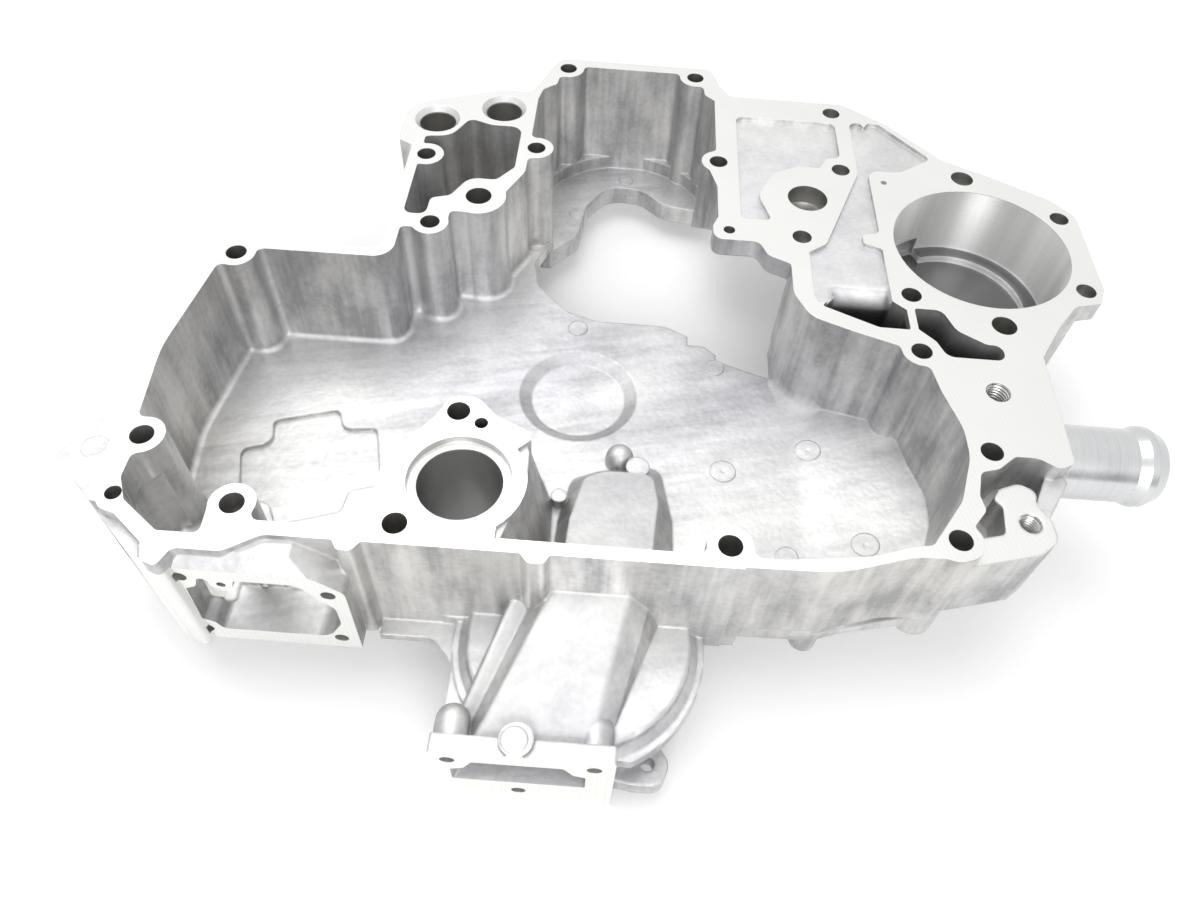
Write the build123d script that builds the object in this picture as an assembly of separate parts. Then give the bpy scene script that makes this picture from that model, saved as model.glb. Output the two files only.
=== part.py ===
from build123d import *
import os
from math import cos, hypot, radians, sin

# Engine gear case: a die-cast aluminium housing with its machined mating face up.
# All lengths are millimetres. The origin is the centre of the drive bore on the mating
# face, +Z leaves that face, +X runs towards the pump housing, +Y towards the crank chamber.
# Depths are counted down from the mating face.

# Plate, floors and walls
PLATE = 9.5
CHAMBER_FLOOR = 54.0
FLOOR_THICKNESS = 6.0
FLOOR_UNDERSIDE = CHAMBER_FLOOR + FLOOR_THICKNESS
RIGHT_FLOOR = CHAMBER_FLOOR - 6.5
WALL_FOOT = 62.0
WALL_FOOT_RIGHT = 46.0
STEP_X = 109.5
REST_PLANE = 86.0
FLOOR_FILLET = 3.0
BLEND = 3.0
SHALLOW = 2.0
WATER_POCKET = 44.0
LOBE_POCKET = 46.0

# Crank chamber
CRANK_LEDGE = CHAMBER_FLOOR + 2
CRANK_RING = CRANK_LEDGE + 8
CRANK_RING_FOOT = CRANK_RING + 11
CRANK_CENTRE = (53.5, 233.3)
CRANK_RING_RADIUS = 49.0
CRANK_RIGHT = 104.0
CRANK_NEAR = 200.0

# Screw holes and bores in the mating face
SCREW_HOLE = 9.0
SCREW_BOSS = 17.0
GUIDE = (-15.7, 163.0)
GUIDE_HOLE = 12.2
GUIDE_BOSS = 26.0
DOWEL = (-120.4, -17.1)
DOWEL_HOLE = 6.0
DOWEL_DEPTH = 9.0
OIL_BORE = 18.0
OIL_BORE_MOUTH = 23.0
OIL_BORE_DEPTH = 50.0
DRIVE_BORE = 32.0
DRIVE_RECESS = 39.0
DRIVE_RECESS_DEPTH = 3.0
DRIVE_PAD = 50.0
DRIVE_BOSS = 60.0
DRIVE_BOSS_FOOT = 72.0
BRACKET_BORE_CENTRE = (141.7, 180.0)
BRACKET_BORE = 19.2
END_PORT = (210.5, 62.5)
END_PORT_HOLE = 10.2
END_PORT_DEPTH = 18.0
SMALL_HOLE_DEPTH = 30.0
THROUGH = 90.0

# Pump housing
PUMP_CENTRE = (221.1, 153.3)
PUMP_BORE = 82.0
PUMP_BORE_DEPTH = 35.0
PUMP_SUMP = 68.0
PUMP_SUMP_DEPTH = 4.0
PUMP_FLOOR = 3.0
PUMP_BLOCK = PUMP_BORE_DEPTH + PUMP_SUMP_DEPTH + PUMP_FLOOR
PUMP_HOUSING = 104.0
PUMP_SCREW_HOLE = 11.0
OUTLET_TOP = 28.0
OUTLET_REACH = 6.5
OUTLET_START = 112.0
OUTLET_END = 215.0

# Hose spigot, pressed into the right end
SPIGOT_OUTSIDE = 31.0
SPIGOT_WALL = 2.0
SPIGOT_BEAD = 34.0
BEAD_WIDTH = 3.0
SPIGOT_Y = 48.5
SPIGOT_DEPTH = 24.0
SPIGOT_END = 280.0
SPIGOT_SEAT = 16.0
RIGHT_END = 234.0

# Cover flanges at the front left
FRONT_FLANGE_Y = -41.0
SIDE_FLANGE_START = (-147.0, -3.0)
SIDE_FLANGE_END = (-106.0, -41.0)
COVER_SCREW_HOLE = 5.4
COVER_PIN_HOLE = 3.2

# Duct at the front, the round flange under it, and the tab at the right
SNOUT_FACE = -86.6
SNOUT_PLATE = 5.6
SNOUT_PLATE_TOP = 40.0
SNOUT_BOSS = 12.8
WALL_Y = -24.0
FLANGE_CENTRE = (48.0, -36.5)
FLANGE_PAD = 86.0
FLANGE_PAD_TOP = 48.0
FLANGE_RIM = 98.0
FLANGE_RIM_TOP = 55.0
FLANGE_NEAR = -80.0
LEDGE_TOP = 58.0
LUG = (77.3, -75.0)
LUG_TOP = 71.0
LUG_FOOT = 80.0
LUG_HOLE = 5.6
TAB_DEPTH = 6.0
TAB_FOOT = 40.0
RIB_FOOT = 40.0
TAB_PORT = (213.0, 3.2)
TAB_PORT_HOLE = 8.6
TAB_PORT_DEPTH = 20.0
RIDGE_TOP = 38.0
RIDGE_SLOPE = 0.18

# Places of the screw holes
CHAMBER_SCREWS = [
    (17.7, 278.5), (87.5, 278.5), (7.6, 204.0), (98.9, 204.0), (-35.2, 141.9),
    (-115.3, 111.7), (-119.7, 9.2), (-78.0, -17.7), (99.1, -19.9), (182.4, 82.7),
]
CORNER_SCREW = (182.3, -10.4)
OTHER_SCREWS = [
    CORNER_SCREW, (-45.6, 192.6), (201.8, 31.4), (183.0, 116.9), (263.5, 128.0),
    (263.5, 178.6), (160.2, 204.6), (159.9, 253.9), (136.9, 150.9), (-5.0, 31.7),
    (-19.6, -21.0),
]
PUMP_SCREWS = [(221.1, 101.7), (221.1, 204.9)]
OIL_BORES = [(-45.1, 222.7), (-12.5, 236.0)]
SMALL_HOLES = [(4.5, 26.6, 5.2), (103.0, 152.0, 5.4)]
FRONT_COVER_SCREWS = [(-93.4, -13.9), (-95.3, -54.2), (-42.1, -20.1), (-43.2, -54.2)]
SIDE_COVER_SCREWS = [(8.0, -10.0), (8.0, -56.0), (51.0, -13.0), (51.0, -57.0)]
SNOUT_SCREWS = [(5.2, -47.8), (57.1, -47.8), (29.6, -76.5)]


def outline(corners):
    """Face inside straight runs between corner points (x, y, radius), each corner rounded."""
    points = [(x, y) for x, y, radius in corners]
    radii = [radius for x, y, radius in corners]
    return make_face(FilletPolyline(*points, radius=radii, close=True))


def slab(face, top, foot):
    """Face in plan carried from one depth to another, both counted down from the mating face."""
    return extrude(Pos(0, 0, -foot) * face, foot - top)


def post(place, diameter, top, foot):
    """Upright cylinder between two depths."""
    return slab(Pos(*place) * Circle(diameter / 2), top, foot)


def inside(x0, y0, x1, y1):
    """Plan rectangle between two corners."""
    return Pos((x0 + x1) / 2, (y0 + y1) / 2) * Rectangle(x1 - x0, y1 - y0)


def along_y(corners, near, far):
    """Outline in X and height, carried along Y from the near plane to the far plane."""
    return extrude(Plane.XZ.offset(-near) * outline(corners), near - far)


def pin_along_y(x, z, diameter, near, far):
    """Cylinder that lies along Y between two planes."""
    return Pos(x, (near + far) / 2, z) * Rot(90, 0, 0) * Cylinder(diameter / 2, far - near)


def without_bosses(face, bosses, blend):
    """Pocket outline with round bosses (x, y, diameter) left standing, blended into the wall."""
    for x, y, diameter in bosses:
        face -= Pos(x, y) * Circle(diameter / 2)
    corners = [
        vertex for vertex in face.vertices()
        for x, y, diameter in bosses
        if abs(hypot(vertex.X - x, vertex.Y - y) - diameter / 2) < 0.001
    ]
    return fillet(corners, blend)


def land_outline():
    """Outer edge of the machined mating face, counter-clockwise from the front left."""
    return outline([
        (-92.6, -37.4, 3), (-76, -37.4, 8), (-64, -29.6, 8), (104, -29.0, 0),
        (104, -28.3, 0), (138, -27.6, 60), (165, -19.0, 30), (176, -18.6, 8),
        (182.3, -20.2, 6), (187.5, -15.5, 3), (190.6, -9.5, 2), (188.5, -4, 2),
        (194.2, 3.5, 3), (193.0, 10, 3), (195.5, 21.0, 3.5), (203, 23.2, 5),
        (210.5, 29.8, 4), (219.5, 29.8, 5), (227, 25.2, 5), (233.3, 28.5, 4),
        (RIGHT_END, 84.5, 3), (246, 104, 20), (256, 117, 6), (268.5, 120.3, 2.5),
        (272, 130, 7), (272, 181, 8), (262, 192.5, 12), (236, 207.5, 30),
        (213, 219, 10), (188, 247, 8), (166, 262.5, 8), (106, 262.5, 6),
        (100.5, 272, 8), (96, 287.5, 6), (12.5, 287.5, 8), (6, 268, 12),
        (0.5, 252.5, 4), (-15.8, 252.5, 16.5), (-61.3, 233.6, 16.2), (-61.3, 203, 3),
        (-54.0, 199, 2), (-53.8, 121.8, 5), (-123.5, 121.0, 9), (-127, 102, 20),
        (-133, 60, 40), (-133, 45, 40), (-130, 0, 6), (-130, -15, 4),
        (-123, -23.8, 3), (-117, -25.5, 3), (-104, -36, 1), (-101.5, -43, 2.5),
        (-96, -45, 2),
    ])


def chamber_outline():
    """Inner edge of the gear chamber and the crank chamber, without its screw bosses."""
    return outline([
        (-100.5, -31.0, 2.5), (-85.4, -31.0, 2.5), (-86.2, -17.7, 0), (-78, -17.7, 0),
        (-78, WALL_Y, 0), (118, WALL_Y, 60), (150, -19.8, 40), (165, -14.4, 12),
        (172, -13.5, 4), (186, 7, 15), (192.7, 28, 25), (192.7, 42, 25),
        (187, 61, 15), (184.0, 77, 0), (182.4, 82.7, 0), (171, 85.6, 4),
        (155, 91.2, 20), (137, 98.5, 12), (130.5, 112, 12), (130.5, 131.5, 2),
        (120.5, 136, 6), (116.5, 145.3, 5), (96, 145, 4.5), (95.3, 154, 3),
        (98, 161, 3), (98, 184, 8), (93.5, 199.5, 0), (98.9, 204.0, 0),
        (97.8, 211, 0), (97.8, 257.5, 3), (92.6, 262.5, 1.5), (91.5, 273, 0),
        (87.5, 278.5, 0), (87.5, 281.3, 0), (17.7, 281.3, 0), (17.7, 278.5, 0),
        (14.0, 272, 0), (12.8, 262.5, 1.5), (6.0, 256.5, 4), (4.2, 247, 6),
        (4.2, 184, 12), (-4.0, 166, 0), (*GUIDE, 0), (-15.7, 150.6, 0),
        (-27.3, 150.6, 2.5), (-27.3, 141.9, 0), (-35.2, 141.9, 0), (-35.2, 137.5, 0),
        (-48, 137.5, 2.5), (-48, 116.0, 9), (-115.3, 115.3, 0), (-115.3, 106, 0),
        (-120.7, 106, 0), (-127.8, 53, 60), (-123.6, 12, 0), (-120.3, 9.2, 0),
        (-120.3, -10, 4), (-115.8, -19.5, 2),
    ])


def main_walls():
    """The casting before its pockets are taken out: the plate and the deep zones under it."""
    land = land_outline()
    body = slab(land, 0, PLATE)
    pump_zone = Pos(*PUMP_CENTRE) * Circle(PUMP_HOUSING / 2) + inside(178, 85, 260, 135)
    zones = [
        (inside(-150, -60, CRANK_RIGHT, 300), 0, WALL_FOOT),
        (inside(CRANK_RIGHT, -60, STEP_X, 0), 0, WALL_FOOT),
        (inside(0, CRANK_NEAR, CRANK_RIGHT, 300), WALL_FOOT, CRANK_RING_FOOT),
        (inside(CRANK_RIGHT, -60, 250, 100), 0, WALL_FOOT_RIGHT),
        (inside(130.5, 86, 200, 118), 0, FLOOR_UNDERSIDE),
        (inside(130.5, 100, 139, 131.5), 0, FLOOR_UNDERSIDE),
        (pump_zone, 0, PUMP_BLOCK),
    ]
    for zone, top, foot in zones:
        body += slab(land & zone, top, foot)
    return body + post(CORNER_SCREW, SCREW_BOSS, 0, WALL_FOOT - 3)


def right_underside():
    """Floor under the right end of the chamber, set in from the outer wall."""
    return slab(outline([(100, -25, 0), (140, -24.5, 0), (178, -12, 6), (196, 10, 10),
                         (198, 60, 10), (180, 92, 6), (100, 120, 0)]),
                WALL_FOOT_RIGHT - 1, FLOOR_UNDERSIDE)


def right_floor_ramp():
    """The chamber floor rises a little towards the right end."""
    foot = -CHAMBER_FLOOR - 2
    ramp = Plane.XZ * make_face(Polyline((140, foot), (140, -CHAMBER_FLOOR), (192, -RIGHT_FLOOR),
                                         (205, -RIGHT_FLOOR), (205, foot), close=True))
    zone = outline([(135, -26, 0), (180, -16, 0), (200, 10, 0), (200, 80, 0), (175, 92, 0),
                    (135, 100, 0)])
    return extrude(Pos(0, 110, 0) * ramp, 150) & slab(zone, PLATE, FLOOR_UNDERSIDE)


def chamber_pocket():
    """Deep pocket of the gear chamber and crank chamber, with a rounded floor edge."""
    bosses = [(x, y, SCREW_BOSS) for x, y in CHAMBER_SCREWS] + [(*GUIDE, GUIDE_BOSS)]
    plan = without_bosses(chamber_outline(), bosses, BLEND)
    pocket = slab(plan, -1, CHAMBER_FLOOR)
    rounded = fillet(pocket.edges().group_by(Axis.Z)[0], FLOOR_FILLET)
    centre_y = CRANK_CENTRE[1]
    ledge = slab(plan & inside(-2, CRANK_NEAR - 10, CRANK_RIGHT, 300), -1, CRANK_LEDGE)
    ring_zone = Pos(*CRANK_CENTRE) * Circle(CRANK_RING_RADIUS)
    ring_zone += inside(-2, CRANK_NEAR, CRANK_RIGHT, centre_y)
    ring = slab(plan & ring_zone & inside(-2, CRANK_NEAR, CRANK_RIGHT, 300), -1, CRANK_RING)
    return rounded + ledge + ring


def crank_opening():
    """Opening right through under the crank chamber, with its freely curved edge."""
    return slab(outline([
        (131, 114.5, 0), (123, 113.8, 4), (104, 122.5, 20), (95, 131, 20), (79, 139.8, 14),
        (44, 140, 16), (28, 145.5, 14), (12, 163, 10), (8.5, 180, 10), (16, 202, 10),
        (29, 216, 12), (32, 243, 14), (44, 263.5, 16), (64, 261.5, 14), (76, 249.5, 16),
        (94, 246, 10), (112, 246, 0), (131, 246, 0),
    ]), CHAMBER_FLOOR - 6, CRANK_RING_FOOT + 1)


def under_bracket():
    """Open space under the bracket plate beside the crank chamber."""
    foot = -CRANK_RING_FOOT - 1
    side = Plane.YZ * make_face(Polyline((128, -PLATE), (161, -PLATE), (249, foot), (128, foot),
                                         close=True))
    return extrude(Pos(90, 0, 0) * side, 40)


def drive_pad():
    """Raised pad round the drive bore, with a flared flank towards the ridge."""
    top = outline([
        (-29.3, -27, 0), (-29.3, 6, 8), (-12.5, 30, 25), (-9.5, 39.4, 6), (1.5, 39.4, 7),
        (9.5, 31.0, 8), (23.4, 24.0, 1.6), (24.4, 20.4, 1), (18, 14, 0), (16, -10, 0),
        (16, -27, 0),
    ])
    pad = slab(top + Circle(DRIVE_PAD / 2), 0, CHAMBER_FLOOR + 1)
    flank_foot = outline([(-5, 45, 0), (19, 45, 4), (26, 41, 3), (32, 28, 6), (33, 8, 8),
                          (31, -26, 0), (-5, -26, 0)])
    flank_top = outline([(-5, 38, 0), (6, 33, 4), (21, 24.5, 1), (24, 16, 4), (24.6, 4, 6),
                         (17, -26, 0), (-5, -26, 0)])
    flank = loft([Pos(0, 0, -CHAMBER_FLOOR - 1) * flank_foot, Pos(0, 0, -SHALLOW) * flank_top])
    return pad + flank


def duct_ridge():
    """The duct goes on inside the chamber as a sloping ridge on the floor."""
    foot = outline([(33, -26, 1), (34.5, 20, 12), (38.5, 42, 6), (50, 47.5, 8), (78, 52.5, 6),
                    (84.5, 22, 14), (85.5, -26, 1)])
    roof = Plane(origin=(0, 0, -RIDGE_TOP), x_dir=(1, 0, 0), z_dir=(0, RIDGE_SLOPE, 1))
    top = roof * outline([(38.4, -26, 1), (40.2, 12, 12), (44.8, 37, 6), (54, 42, 8),
                          (74, 42, 6), (76.5, 26, 14), (72.6, -26, 1)])
    ridge = loft([Pos(0, 0, -CHAMBER_FLOOR - 1) * foot, top])
    sunk = CHAMBER_FLOOR + 2
    knob = Pos(59.6, 53, 3 - CHAMBER_FLOOR) * Sphere(6.2) + post((59.6, 53), 12.4, sunk - 5, sunk)
    disc = post((67.6, 45), 10.4, CHAMBER_FLOOR - 8.5, sunk)
    nub = post((34.5, 29), 7, CHAMBER_FLOOR - 5.5, sunk)
    return ridge + knob + disc + nub


def floor_marks():
    """Recesses cast into the chamber floor."""
    cross = outline([
        (-98, 62, 3), (-70, 71, 3), (-66, 60, 5), (-51, 62, 3), (-43, 31, 3), (-56, 27, 4),
        (-57, 16, 4), (-83, 7, 4), (-88, 18, 6), (-101, 19, 3), (-108, 45, 4), (-95, 49, 6),
    ])
    recess = slab(cross, CHAMBER_FLOOR - 1, CHAMBER_FLOOR + 2.2)
    dish = Pos(38.4, 90.6, -CHAMBER_FLOOR - 1.7) * Cone(21.8, 28.2, 3.8)
    return recess + dish


def lobe_pocket():
    """Closed pocket between the two oil bores and the gear chamber."""
    plan = outline([
        (-48.6, 207.4, 2.5), (-36, 209, 10), (-28.5, 224.8, 4), (-17, 220.6, 6),
        (-1.3, 220.6, 6), (-1.3, 187, 4), (-9, 176.2, 4), (-22, 176.2, 8), (-29, 162, 4),
        (-37.8, 159, 3), (-38.2, 147.0, 4), (-48.6, 147.0, 4),
    ])
    return slab(without_bosses(plan, [(-45.6, 192.6, SCREW_BOSS)], BLEND / 2), -1, LOBE_POCKET)


def water_pockets():
    """Two dark pockets of the water passage beside the pump, split by a thin web."""
    left = outline([(142.5, 105.8, 1), (150, 115, 3), (173.6, 115, 0), (173.6, 112, 3),
                    (179.5, 107, 1), (179.5, 95, 1), (166, 95, 6)])
    right = outline([(183, 108.4, 1.5), (195, 108.4, 5), (199.5, 96.5, 8), (211, 89.3, 6),
                     (217.6, 89.3, 4), (217.6, 80.5, 4), (193, 80.5, 5), (189.5, 89, 6),
                     (183, 95.5, 1.5)])
    web_gap = inside(178, 96.5, 184, 106)
    bevel = Plane.YZ * make_face(Polyline((114, -1), (120.5, -1), (120.5, -SHALLOW), (114, -PLATE),
                                          close=True))
    return [slab(left, -1, WATER_POCKET), slab(right, -1, WATER_POCKET),
            slab(web_gap, 4, WATER_POCKET), extrude(Pos(148, 0, 0) * bevel, 25.6)]


def shallow_pockets():
    """Cast relief between the machined pads of the bracket plate."""
    left = outline([(108.8, 244.5, 4), (160.8, 244.5, 4), (160.8, 214.6, 4), (154, 213.5, 3),
                    (149.5, 204.5, 3), (140, 205.5, 8), (126, 198, 10), (117.6, 180, 12),
                    (123.4, 161.3, 2), (108.8, 161.3, 3)])
    strip = outline([(168.6, 246.5, 4), (174.6, 246.5, 2), (176, 242.5, 1), (178.5, 247, 2),
                     (184, 247, 4), (207.5, 219.3, 3), (190, 205.8, 14), (173.8, 205.8, 6),
                     (173.8, 157.5, 3), (165.5, 156, 3), (165.5, 149.5, 2), (173.8, 146.5, 2),
                     (173.8, 113.5, 0), (141, 108, 0), (139.5, 112, 0), (139.5, 140.5, 1),
                     (148, 147, 8), (168.6, 202.5, 6)])
    return [slab(left, -1, SHALLOW), slab(strip, -1, SHALLOW)]


def from_pump(angle, distance):
    """Plan point at a direction (degrees from +X) and distance from the pump's centre."""
    x, y = PUMP_CENTRE
    return (x + distance * cos(radians(angle)), y + distance * sin(radians(angle)))


def pump_bore():
    """Big turned bore for the pump, with a deeper sump in its floor and a crescent outlet."""
    sump_floor = PUMP_BORE_DEPTH + PUMP_SUMP_DEPTH
    bore = post(PUMP_CENTRE, PUMP_BORE, -1, PUMP_BORE_DEPTH)
    sump = post(PUMP_CENTRE, PUMP_SUMP, PUMP_BORE_DEPTH - 1, sump_floor)
    middle = (OUTLET_START + OUTLET_END) / 2
    sector = make_face(Polyline(PUMP_CENTRE, from_pump(OUTLET_START, PUMP_BORE),
                                from_pump(middle, PUMP_BORE), from_pump(OUTLET_END, PUMP_BORE),
                                close=True))
    crescent = Pos(*from_pump(middle, OUTLET_REACH)) * Circle(PUMP_BORE / 2)
    return [bore, sump, slab(crescent & sector, OUTLET_TOP, sump_floor)]


def upright_holes():
    """Every hole drilled square to the mating face."""
    holes = [post(place, SCREW_HOLE, -1, THROUGH) for place in CHAMBER_SCREWS + OTHER_SCREWS]
    holes += [post(place, PUMP_SCREW_HOLE, -1, THROUGH) for place in PUMP_SCREWS]
    holes += [post((x, y), size, -1, SMALL_HOLE_DEPTH) for x, y, size in SMALL_HOLES]
    mouth = (OIL_BORE_MOUTH - OIL_BORE) / 2
    for place in OIL_BORES:
        holes.append(post(place, OIL_BORE, -1, OIL_BORE_DEPTH))
        holes.append(Pos(*place, -mouth / 2) * Cone(OIL_BORE / 2, OIL_BORE_MOUTH / 2, mouth))
    holes.append(post((0, 0), DRIVE_BORE, -1, THROUGH))
    holes.append(post((0, 0), DRIVE_RECESS, -1, DRIVE_RECESS_DEPTH))
    holes.append(post(GUIDE, GUIDE_HOLE, -1, THROUGH))
    holes.append(post(BRACKET_BORE_CENTRE, BRACKET_BORE, -1, THROUGH))
    holes.append(post(DOWEL, DOWEL_HOLE, -1, DOWEL_DEPTH))
    holes.append(post(END_PORT, END_PORT_HOLE, -1, END_PORT_DEPTH))
    holes.append(post(TAB_PORT, TAB_PORT_HOLE, TAB_DEPTH - 1, TAB_DEPTH + TAB_PORT_DEPTH))
    holes.append(post(LUG, LUG_HOLE, LUG_TOP - 1, THROUGH))
    return holes


def cover_housing():
    """Housing at the front left that carries the two cover flanges."""
    roof_top = -3
    roof = Plane.YZ * outline([(FRONT_FLANGE_Y, -WALL_FOOT, 0), (FRONT_FLANGE_Y, -8, 0),
                               (FRONT_FLANGE_Y + 5, roof_top, 0), (-20, roof_top, 0),
                               (-20, -WALL_FOOT, 0)])
    face = along_y([(-106, -WALL_FOOT, 0), (-106, roof_top, 0), (-54, roof_top, 0),
                    (-44, -10.5, 6), (-35.8, -18, 5), (-36.4, -WALL_FOOT, 1)],
                   FRONT_FLANGE_Y, -20)
    front = extrude(Pos(-110, 0, 0) * roof, 80) & face
    x0, y0 = SIDE_FLANGE_START
    x1, y1 = SIDE_FLANGE_END
    gusset = slab(outline([(-131, 26, 0), (x0, y0 + 2, 1), (x0, y0, 1), (-128, -20.5, 0),
                           (-118, -22, 0), (-118, 0, 0)]), 0.8, WALL_FOOT)
    side = slab(outline([(-126, 0, 0), (x0, y0, 1), (x1, y1, 0), (-100, -41, 0),
                         (-97, -30, 0), (-115, -10, 0)]), 6, WALL_FOOT)
    return front + gusset + side


def cover_openings():
    """Openings and screw holes of the two cover flanges."""
    near = FRONT_FLANGE_Y - 1
    cuts = [along_y([
        (-94.5, -46.5, 2), (-93.6, -22.5, 1), (-89.3, -20, 2), (-87.5, -14.4, 1.5),
        (-84, -14.4, 2), (-83.8, -20.5, 2.5), (-76.5, -21.0, 2.5), (-74.5, -14.3, 1.5),
        (-52, -14.3, 6), (-46.5, -23.5, 5), (-41.2, -30, 6), (-41.2, -42, 8),
        (-47.5, -53.5, 8), (-88.5, -53.5, 2), (-90.5, -48.5, 3),
    ], near, -22)]
    for x, z in FRONT_COVER_SCREWS:
        cuts.append(pin_along_y(x, z, COVER_SCREW_HOLE, near, FRONT_FLANGE_Y + 13))
    cuts.append(pin_along_y(-79.6, -17.6, COVER_PIN_HOLE, near, FRONT_FLANGE_Y + 11))
    x0, y0 = SIDE_FLANGE_START
    x1, y1 = SIDE_FLANGE_END
    length = hypot(x1 - x0, y1 - y0)
    along = Vector((x1 - x0) / length, (y1 - y0) / length, 0)
    side = Plane(origin=(x0, y0, 0), x_dir=along, z_dir=along.cross(Vector(0, 0, 1)))
    window = outline([(18, -52, 5), (45, -52, 5), (45, -14, 5), (18, -14, 5)])
    cuts.append(extrude(side * window, -26) + extrude(side * window, 3))
    for s, z in SIDE_COVER_SCREWS:
        cuts.append(side * Pos(s, z, 0) * Cylinder(COVER_SCREW_HOLE / 2, 24))
    return cuts


def snout():
    """Duct at the front: a sloping hood with stepped flanks, which ends in a screwed plate."""
    plate_back = SNOUT_FACE + SNOUT_PLATE
    at_wall = Plane.XZ.offset(-WALL_Y) * outline([
        (18, -WALL_FOOT, 0), (19.5, -FLANGE_PAD_TOP, 0), (23, -32.5, 2), (31, -35, 1),
        (38.8, -23.3, 3), (66.9, -23.3, 3), (74.5, -33, 2), (80, -FLANGE_PAD_TOP, 0),
        (81, -WALL_FOOT, 0),
    ])
    at_plate = Plane.XZ.offset(-plate_back) * outline([
        (0, -84, 0), (0.5, -60, 0), (3, -51.5, 2), (7.5, -53.5, 1), (13.3, -44.5, 3),
        (54.8, -44.5, 3), (61, -51, 2), (63.2, -58, 0), (64, -84, 0),
    ])
    plate = along_y([(-1.2, -REST_PLANE, 1), (64.5, -REST_PLANE, 1), (64.5, -SNOUT_PLATE_TOP, 1),
                     (-1.2, -SNOUT_PLATE_TOP, 1)], SNOUT_FACE, plate_back + 1)
    body = loft([at_wall, at_plate]) + plate
    boss_end = SNOUT_FACE + 14
    for x, z in SNOUT_SCREWS[:2]:
        body += pin_along_y(x, z, SNOUT_BOSS, SNOUT_FACE, boss_end)
        body += Pos(x, boss_end, z) * Sphere(SNOUT_BOSS / 2)
    half_round = post((29.2, plate_back), 12.5, SNOUT_PLATE_TOP - 2.5, SNOUT_PLATE_TOP + 8)
    body += half_round & slab(inside(0, SNOUT_FACE, 60, -70), 0, WALL_FOOT)
    ledge = slab(outline([(-30, -20, 0), (-30, -36.5, 0), (-9, -36.5, 8), (-0.5, -46, 12),
                          (0, SNOUT_FACE + 2, 0), (30, SNOUT_FACE + 2, 0), (30, -20, 0)]),
                 LEDGE_TOP, WALL_FOOT)
    return body + ledge


def snout_cuts():
    """Hollow of the duct, which rises behind its slot, and the screw holes of its plate."""
    at_face = Plane.XZ.offset(1 - SNOUT_FACE) * outline([
        (5, -68, 1), (54, -68, 1), (54, -57, 1), (49.5, -55.5, 1), (46, -49, 1),
        (13, -49, 1), (10, -55.5, 1), (5, -57.5, 1),
    ])
    at_end = Plane.XZ.offset(8 - WALL_Y) * outline([
        (33, -56, 1), (67, -56, 1), (67, -40, 1), (66, -37.5, 1), (61, -31, 1),
        (40, -31, 1), (35, -37.5, 1), (33, -40, 1),
    ])
    cuts = [loft([at_face, at_end])]
    for x, z in SNOUT_SCREWS:
        cuts.append(pin_along_y(x, z, COVER_SCREW_HOLE, SNOUT_FACE - 1, SNOUT_FACE + 13))
    return cuts


def round_flange():
    """Round flange under the duct, with a lower rim and a lug beside the plate."""
    x, y = FLANGE_CENTRE
    pad = FLANGE_PAD / 2
    rim = FLANGE_RIM / 2
    profile = Plane.XZ * outline([
        (0, -WALL_FOOT, 0), (rim, -WALL_FOOT, 0), (rim, -FLANGE_RIM_TOP, 0),
        (rim - 2.5, -FLANGE_RIM_TOP, 0), (pad + 0.5, -FLANGE_RIM_TOP + 3.5, 2),
        (pad, -FLANGE_PAD_TOP, 1.5), (0, -FLANGE_PAD_TOP, 0),
    ])
    disc = Pos(x, y, 0) * revolve(profile, Axis.Z)
    flange = disc & slab(inside(-10, FLANGE_NEAR, 110, WALL_Y), 0, WALL_FOOT)
    lug = slab(outline([(64, -82, 0), (70.5, -74.5, 1.5), (80.5, -67, 2), (86, -74, 6),
                        (83, -83.3, 6), (72, -83.3, 3)]), LUG_TOP, LUG_FOOT)
    arm = slab(outline([(60, -83, 0), (64, -82, 0), (70.5, -74.5, 1), (80.5, -67, 1), (84, -62, 2),
                        (78, -50, 0), (60, -50, 0)]), WALL_FOOT - 1, LUG_FOOT)
    return flange + lug + arm


def right_tab():
    """Lower tab at the right front corner with its threaded boss."""
    tab = slab(outline([(184, -18.5, 0), (214, -10.5, 0), (222, -4, 6), (221.5, 5, 4),
                        (217, 13, 3), (219, 18, 4), (212, 21.5, 5), (204, 18, 3), (201, 13, 2),
                        (204, 10, 2), (202.5, -2.5, 3), (191, -5.5, 0), (184, -10, 0)]),
               TAB_DEPTH, TAB_FOOT)
    shoulder = slab(outline([(190, -8, 0), (204, -10, 0), (222, 8, 3), (232, 24, 4), (228, 40, 0),
                             (200, 40, 0), (192, 14, 0)]), TAB_DEPTH + 16, WALL_FOOT_RIGHT)
    rib = slab(outline([(216.5, 10, 1.5), (221.5, 6.5, 1.5), (233, 25, 0), (231, 30, 0),
                        (226, 30, 0)]), TAB_DEPTH + 2, WALL_FOOT_RIGHT)
    return tab + shoulder + rib


def front_ribs():
    """Upright half-round ribs on the front wall."""
    ribs = slab(outline([(23.5, -27, 0), (28.5, -33, 2.5), (34, -33, 2.5), (37.5, -27, 0)]), 0, RIB_FOOT)
    ribs += slab(outline([(-41.5, -27, 0), (-37.5, -33.4, 2.5), (-32.5, -33.4, 2.5),
                          (-28, -27, 0)]), 0, WALL_FOOT)
    return ribs


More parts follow.
